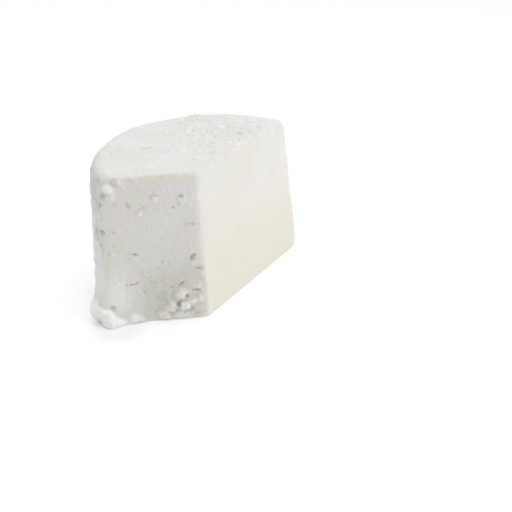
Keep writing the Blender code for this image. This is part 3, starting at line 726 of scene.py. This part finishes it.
def relief(at):
    """Every point of the block moved to the curd's relief, and its marks, in millimetres.

    It moves along the normal by the curd's height, the marked lumps and the curds that stand out, less
    the pores and marked holes, and then along the spill's own way. The marks say how deep it lies in a hole,
    where whey stands, whose tint also paints the shade in holes and pores, under the spill's left roll and in
    the pore by the spill, most of all on the front; how far it is softer, whiter curd, partly painted light;
    and how far it is curd that lay against the mould, with painted shade high on the left."""
    bent, ragged = warped(at.points, 0.55, 2.4, 1), warped(at.points, 1.3, 3.4, 35)
    flakes = grains(ragged, 5.4, 0.62, (2.6, 6.6), 1.1, 60)
    specks = grains(bent, 3.8, 0.34, (1.0, 2.6), 0.5, 70)
    specks *= (at.on_front * (1 + 0.8 * at.crumble) + 0.8 * at.on_flank) * (1 - at.on_top)
    height = curd_height(at, bent, flakes, specks)
    pits = pores(at, bent, ragged)
    lumps = swellings(at.front, at.front.across(bent), bent[..., 2], FRONT_LUMPS)
    lumps *= at.on_front * (1 - at.on_top)
    sunk = 0.62 * reach_out(bent, -at.normals, placed_holes(at.wheel, at.front, at.right))
    stands = curds_on_front(at)
    way, spilt, spill = spill_at_foot(at, bent)
    height = (height + lumps + stands - pits * (1 - spill)) * smooth(0.0, 3.0, at.z) - sunk * (1 - spill)
    moved = at.points + at.normals * height[..., None] + way * spilt[..., None]

    # Painted shade under the spill's left roll: there the spill is less white and takes the whey's tint.
    under = 0.8 * smooth(7.5, 3.0, at.z) * smooth(-74, -79, at.x)
    # Whey in holes and pores, whose tint also paints the shade in them, and the painted shade under the roll.
    hollow = (sunk + 1.8 * pits) * (1 - spill) * (0.6 + 0.4 * at.on_front) + 1.3 * under * spill
    # Painted shade high on the left of the flank, in the flank's grey.
    dull = smooth(62, 78, at.z) * at.far_left
    marks = {
        # The pore by the spill gets more of the whey's tint, which also paints its shade.
        "depth_and_painted_shade": hollow + 1.2 * bell(at.across, at.z, *SPILL_PORE) * at.on_front,
        "soft": whiteness_and_painted_light(at, moved, spill, under, stands, specks, flakes),
        "rind_and_painted_shade": at.on_flank * (0.08 + 0.92 * dull),
    }
    return moved, marks


def tints(at):
    """Where the curd is creamier, with a painted warm glow and bounce, and where painted shade lies, 0 to 1:
    bands and bell curves over places on the two cuts.
    """
    along_front, along_right = at.across, at.right.across(at.points)
    # A painted warm glow under the front's top edge, where light comes through its thin overhang, up to about
    # 40 mm from the near corner.
    painted_glow_band = smooth(85.2, 88.4, at.z) * (1 - smooth(90.6, 91.8, at.z)) * (1 - smooth(34, 46, along_front))
    # A painted warm bounce from the cut-off slices, low on the right cut; at its lowest it also takes painted
    # shade.
    low = smooth(80, 30, at.z + 0.12 * along_right + 5 * noise(at.points, 30, 91))
    low *= smooth(0, 9, along_right) * at.on_right
    # A patch low by the near corner with less painted shade and creamier curd.
    less_shade = bell(along_front, at.z, *LESS_SHADE_PATCH)
    # Painted shade, a little green, over the lower front by the crumbled corner and low along the near edge.
    painted_shade = bell(along_front, at.z, *PAINTED_SHADE_PATCH, STEEP)
    painted_shade *= (0.85 + 0.15 * noise(at.points, 14, 92)) * (1 - 0.6 * less_shade)
    painted_shade += 0.35 * bell(along_front, at.z, *PAINTED_SHADE_EDGE)
    # Cream: a little on both cuts, with the painted glow, the creamier patch and the painted bounce. Painted
    # shade: on the front, and at the foot of the right cut.
    return {
        "cream": np.maximum((0.12 + 0.6 * painted_glow_band + 0.6 * less_shade) * at.on_front, 0.25 * at.on_right + 0.75 * low),
        "painted_shade": np.maximum(painted_shade * at.on_front, 0.24 * low ** 2),
    }


def build_block(wheel):
    """The block's points, faces and marks: wall and top moved by the relief, then closed over a flat base."""
    grid = block_grid(wheel)
    at = Places(wheel, grid, normals_of(grid))
    moved, marks = relief(at)
    marks.update(tints(at))
    moved[..., 2] = np.maximum(moved[..., 2], 0.0)
    moved[0, :, 2] = 0.0
    inward = np.linspace(1, 0, BASE_ROWS + 1)[1:-1][::-1, None, None]
    middle = np.append(POLE, 0.0)
    base = middle + (moved[0] - middle) * inward
    rows = np.concatenate([base, moved])
    count, columns = rows.shape[:2]
    points = np.concatenate([rows.reshape(-1, 3), [middle, moved[-1].mean(axis=0)]])
    ring = np.arange(columns)
    faces = grid_faces(count, columns).tolist()
    faces += fan_faces(ring, count * columns, False).tolist()
    faces += fan_faces(ring + (count - 1) * columns, count * columns + 1, True).tolist()

    # The base and both poles carry no marks.
    blank = np.zeros(base.shape[:2])
    marks = {name: np.append(np.concatenate([blank, mark]), [0.0, 0.0]) for name, mark in marks.items()}
    return points, faces, marks


# --- what it is made of


def mapped(tree, value, ends):
    """A value taken linearly from one span to another, whose ends are 0 and 1 where they aren't given."""
    return add_node(tree, "MapRange", ends, Value=value).outputs["Result"]


def cleared(data):
    """The emptied node tree of a new material or world."""
    data.use_nodes = True
    data.node_tree.nodes.clear()
    return data.node_tree


def per_metre(size_mm):
    """A texture scale for features of that size in millimetres, on coordinates in metres."""
    return 1.0 / (size_mm * MM)


def fresh_curd(look):
    """Fresh ricotta curd, drained in a mould and cut: moist, matt and faintly see-through white, creamier
    in patches, duller and a touch green where whey stands in the holes. Painted shade and painted light
    are laid into its colour as well, as the marks below say."""
    material = bpy.data.materials.new("fresh_ricotta_curd")
    tree = cleared(material)
    where = add_node(tree, "TexCoord").outputs["Object"]

    def mottle(size_mm, detail, low, high):
        """A noise of that feature size, stretched so that low to high spans 0 to 1."""
        sizes = {"Scale": per_metre(size_mm), "Detail": detail}
        cloud = add_node(tree, "TexNoise", sizes, Vector=where)
        return mapped(tree, cloud.outputs["Fac"], {"From Min": low, "From Max": high})

    def blend(factor, under, over):
        """The colour under, a socket or a setting, taken towards the setting over by factor."""
        mix = add_node(tree, "MixRGB", {"Color2": (*over, 1.0)}, Fac=factor)
        if isinstance(under, bpy.types.NodeSocket):
            tree.links.new(under, mix.inputs["Color1"])
        else:
            mix.inputs["Color1"].default_value = (*under, 1.0)
        return mix.outputs["Color"]

    def scaled(socket, factor):
        """A socket's value times factor."""
        times = {"operation": "MULTIPLY", 1: factor}
        return add_node(tree, "Math", times, **{"0": socket}).outputs["Value"]

    # Slow patches 30 mm across and small curds of 3 mm are a little creamier than the rest.
    colour = blend(mottle(30, 2, 0.38, 0.66), look.milk, look.cream)
    colour = blend(scaled(mottle(3.2, 2, 0.50, 0.70), 0.35), colour, look.cream)
    # Curd that lay against the mould is greyer, with painted shade high on the left. The front's top edge
    # carries a painted warm glow in a creamier colour, a patch low by the near corner is creamier, and the
    # low part of the right cut carries a painted warm bounce. The spill, specks, flakes and curds that stand
    # out are whiter, partly as painted light, with a painted bounce from the floor low on the left and
    # painted shade under the spill's left roll. Painted shade, a little green, lies on the crumbled corner,
    # low along the near edge and at the foot of the right cut.
    mark = {
        name: add_node(tree, "Attribute", {"attribute_name": name}).outputs["Fac"]
        for name in ("depth_and_painted_shade", "cream", "painted_shade", "soft", "rind_and_painted_shade")
    }
    colour = blend(scaled(mark["rind_and_painted_shade"], 0.8), colour, look.rind_and_painted_shade)
    colour = blend(mark["cream"], colour, look.rich_and_painted_warm_light)
    colour = blend(mark["soft"], colour, look.spill)
    colour = blend(scaled(mark["painted_shade"], 0.6), colour, look.painted_shade_colour)
    # Whey stands in the holes, and its tint also paints the shade in holes and pores, under the spill's
    # left roll and in the pore by the spill: 2.5 mm down the colour is nearly the whey's.
    deep = mapped(tree, mark["depth_and_painted_shade"], {"From Min": 0.3, "From Max": 2.5})
    colour = blend(scaled(deep, 0.9), colour, look.whey)

    # Moist but matt: an even film of whey over fine crumb.
    gloss = mapped(tree, mottle(2.0, 2, 0.3, 0.7), {"To Min": 0.55, "To Max": 0.78})
    # The finest crumb, 1.1 mm and 0.5 mm across, too fine for the mesh.
    crumb = add_node(tree, "TexNoise", {"Scale": per_metre(1.1), "Detail": 2.0}, Vector=where)
    bump = {"Strength": 0.5, "Distance": 0.25 * MM}
    fine = add_node(tree, "Bump", bump, Height=crumb.outputs["Fac"]).outputs["Normal"]
    body = {
        "IOR": 1.40, "Specular IOR Level": 0.25, "Subsurface Weight": 0.8,
        "Subsurface Radius": (1.0, 0.85, 0.6), "Subsurface Scale": look.softness,
    }
    skin = add_node(tree, "BsdfPrincipled", body, Base_Color=colour, Roughness=gloss, Normal=fine)
    add_node(tree, "OutputMaterial", Surface=skin.outputs["BSDF"])
    return material


def light_table(look):
    """A light table's opal acrylic: smooth, matt white and lit from below, which keeps shadows faint. The
    glow grows from 0 to full between two distances from a spot in front of the foot, which paints a
    shadow on the floor there."""
    material = bpy.data.materials.new("backlit_opal_acrylic")
    tree = cleared(material)
    where = add_node(tree, "TexCoord").outputs["Object"]
    grain = add_node(tree, "TexNoise", {"Scale": per_metre(40), "Detail": 1.0}, Vector=where)
    rough = mapped(tree, grain.outputs["Fac"], {"To Min": 0.75, "To Max": 0.85})
    away = add_node(tree, "VectorMath", {"operation": "DISTANCE", 1: PAINTED_SHADOW_SPOT}, **{"0": where})
    near, far = SHADE_EDGES
    lit = {"interpolation_type": "SMOOTHSTEP", "From Min": near, "From Max": far, "To Max": look.floor_glow}
    glow = mapped(tree, away.outputs["Value"], lit)
    acrylic = {
        "Base Color": (*look.floor, 1.0),
        "Specular IOR Level": 0.1,
        "Emission Color": (*linear("#FFFFFF"), 1.0),
    }
    sheet = add_node(tree, "BsdfPrincipled", acrylic, Roughness=rough, Emission_Strength=glow)
    add_node(tree, "OutputMaterial", Surface=sheet.outputs["BSDF"])
    return material


def studio_dome(look):
    """A white dome of light, brighter towards the right and the back: its strength is the fill times 1
    plus the tilt times the cosine to that side."""
    world = bpy.data.worlds.new("studio_dome")
    tree = cleared(world)
    way = add_node(tree, "TexCoord").outputs["Generated"]
    side = add_node(tree, "VectorMath", {"operation": "DOT_PRODUCT", 1: BRIGHT_SIDE}, **{"0": way})
    ends = {"From Min": -1.0, "To Min": look.fill * (1 - look.tilt), "To Max": look.fill * (1 + look.tilt)}
    strength = mapped(tree, side.outputs["Value"], ends)
    glow = add_node(tree, "Background", {"Color": (*linear("#FFFFFF"), 1.0)}, Strength=strength)
    add_node(tree, "OutputWorld", Surface=glow.outputs["Background"])
    return world


# --- settings


COLOUR = {"size": 3, "subtype": "COLOR"}


class RicottaBlockSettings(bpy.types.PropertyGroup):
    """The block's round sizes."""

    top_radius: bpy.props.FloatProperty(
        name="Top radius", description="Radius of the whole wheel at its top", default=0.0804, unit="LENGTH"
    )
    base_radius: bpy.props.FloatProperty(
        name="Base radius", description="Radius of the whole wheel at its foot", default=0.0843, unit="LENGTH"
    )
    height: bpy.props.FloatProperty(
        name="Height", description="Height of the wheel", default=0.092, unit="LENGTH"
    )
    shoulder: bpy.props.FloatProperty(
        name="Shoulder", description="Rounding between the top and the flank", default=0.0072, unit="LENGTH"
    )


class RicottaCurdSettings(bpy.types.PropertyGroup):
    """The curd's colours and how far light goes into it."""

    milk: bpy.props.FloatVectorProperty(
        name="Milk", description="Most of the curd", default=linear("#E4E4E2"), **COLOUR
    )
    # Also the colour of the painted light on the foot, raised curds, specks and flakes, and of the floor's
    # painted bounce.
    spill: bpy.props.FloatVectorProperty(
        name="Spill", description="The softest curd, as at the foot", default=linear("#FFFFFF"), **COLOUR
    )
    cream: bpy.props.FloatVectorProperty(
        name="Cream", description="The creamier curd", default=linear("#E0DFDA"), **COLOUR
    )
    # Also the colour of the painted warm glow under the front's top edge and of the painted warm bounce low
    # on the right cut.
    rich_and_painted_warm_light: bpy.props.FloatVectorProperty(
        name="Rich", description="The creamiest curd, as on the front's top edge",
        default=linear("#E7E3D6"), **COLOUR
    )
    # Also the colour of the painted shade high on the left of the flank.
    rind_and_painted_shade: bpy.props.FloatVectorProperty(
        name="Flank", description="Curd that lay against the mould", default=linear("#D2D2D1"), **COLOUR
    )
    # The colour of the painted shade: on the lower front, along the near edge and at the foot of the right
    # cut.
    painted_shade_colour: bpy.props.FloatVectorProperty(
        name="Damp", description="Curd moist with whey", default=linear("#C4C3B6"), **COLOUR
    )
    # The whey's colour also paints the shade in holes and pores and under the spill's left roll.
    whey: bpy.props.FloatVectorProperty(
        name="Whey", description="Curd wet with whey, in the holes", default=linear("#C9C6A3"), **COLOUR
    )
    softness: bpy.props.FloatProperty(
        name="Light depth", description="How far light spreads inside", default=0.00045, unit="LENGTH"
    )


class RicottaStageSettings(bpy.types.PropertyGroup):
    """Light table, dome, softboxes and lens."""

    floor: bpy.props.FloatVectorProperty(
        name="Floor", description="Colour of the light table", default=linear("#FCFCFC"), **COLOUR
    )
    floor_glow: bpy.props.FloatProperty(
        name="Floor glow", description="Light from below the floor", default=0.14
    )
    floor_size: bpy.props.FloatProperty(
        name="Floor size", description="Side of the light table", default=9.0, unit="LENGTH"
    )
    fill: bpy.props.FloatProperty(name="Fill", description="Strength of the dome all round", default=0.60)
    tilt: bpy.props.FloatProperty(
        name="Tilt", description="How much brighter the dome is at the back and right", default=0.72,
        subtype="FACTOR",
    )
    overhead: bpy.props.FloatProperty(
        name="Overhead", description="Power of the softbox above, a little in front and to the left",
        default=11.4, unit="POWER",
    )
    side: bpy.props.FloatProperty(
        name="Side", description="Power of the softbox on the right", default=4.0, unit="POWER"
    )
    lens: bpy.props.FloatProperty(
        name="Lens", description="Focal length on a 36 mm frame", default=100.97, unit="CAMERA"
    )


# --- operators and panel


def shaped_wheel(context):
    """The wheel with the block's settings, in millimetres."""
    sizes = context.scene.ricotta_block
    lengths = (sizes.height, sizes.top_radius, sizes.base_radius, sizes.shoulder)
    return Wheel(*(length / MM for length in lengths))


def softbox(name, power, side, place):
    """A square area light of that side in metres, turned to face the block's middle."""
    light = bpy.data.lights.new(name, "AREA")
    light.energy = power
    light.size = side
    obj = bpy.data.objects.new(name, light)
    obj.location = place
    obj.rotation_euler = (BLOCK_MIDDLE - Vector(place)).to_track_quat("-Z", "Y").to_euler()
    bpy.context.scene.collection.objects.link(obj)


class RICOTTA_OT_block(bpy.types.Operator):
    """Make the cut block of curd that stands for the CAD solid"""

    bl_idname = "ricotta.block"
    bl_label = "Curd Block"

    def execute(self, context):
        curd = fresh_curd(context.scene.ricotta_curd)
        block = make_mesh("ricotta_block", *build_block(shaped_wheel(context)))
        block.data.materials.append(curd)
        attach(block, "root")
        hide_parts(NODE)
        return {"FINISHED"}


class RICOTTA_OT_stage(bpy.types.Operator):
    """Lay the light table, hang the softboxes and set the camera"""

    bl_idname = "ricotta.stage"
    bl_label = "Floor, Light and Camera"

    def execute(self, context):
        look = context.scene.ricotta_stage
        half = look.floor_size / 2 / MM
        corners = half * np.array([[-1, -1, 0], [1, -1, 0], [1, 1, 0], [-1, 1, 0]])
        floor = make_mesh("floor", corners - WHEEL_AXIS, [(0, 1, 2, 3)])
        floor.data.materials.append(light_table(look))

        context.scene.world = studio_dome(look)
        softbox("overhead_softbox", look.overhead, *OVERHEAD_SOFTBOX)
        softbox("side_softbox", look.side, *SIDE_SOFTBOX)

        camera = bpy.data.objects.new("camera", bpy.data.cameras.new("camera"))
        context.scene.collection.objects.link(camera)
        camera.data.lens = look.lens
        camera.data.sensor_width = SENSOR_WIDTH
        camera.data.clip_end = VIEW_END
        camera.matrix_world = Matrix.Translation(CAMERA_AT) @ CAMERA_TURN.to_4x4()
        context.scene.camera = camera
        context.scene.view_settings.view_transform = "Standard"
        return {"FINISHED"}


class RICOTTA_PT_panel(bpy.types.Panel):
    """Lists the settings and pieces in the 3D view's sidebar."""

    bl_label = "Ricotta"
    bl_idname = "RICOTTA_PT_panel"
    bl_space_type = "VIEW_3D"
    bl_region_type = "UI"
    bl_category = "Ricotta"

    def draw(self, context):
        for name in GROUPS:
            settings = getattr(context.scene, name)
            box = self.layout.box()
            for key in settings.__annotations__:
                box.prop(settings, key)
        for operator in OPERATORS:
            self.layout.operator(operator.bl_idname)


GROUPS = {
    "ricotta_block": RicottaBlockSettings,
    "ricotta_curd": RicottaCurdSettings,
    "ricotta_stage": RicottaStageSettings,
}
OPERATORS = (RICOTTA_OT_block, RICOTTA_OT_stage)
CLASSES = (*GROUPS.values(), *OPERATORS, RICOTTA_PT_panel)


def register():
    for cls in CLASSES:
        bpy.utils.register_class(cls)
    for name, group in GROUPS.items():
        setattr(bpy.types.Scene, name, bpy.props.PointerProperty(type=group))


def unregister():
    for name in GROUPS:
        delattr(bpy.types.Scene, name)
    for cls in reversed(CLASSES):
        bpy.utils.unregister_class(cls)


def main():
    register()
    bpy.ops.ricotta.block()
    bpy.ops.ricotta.stage()


if __name__ == "__main__":
    main()
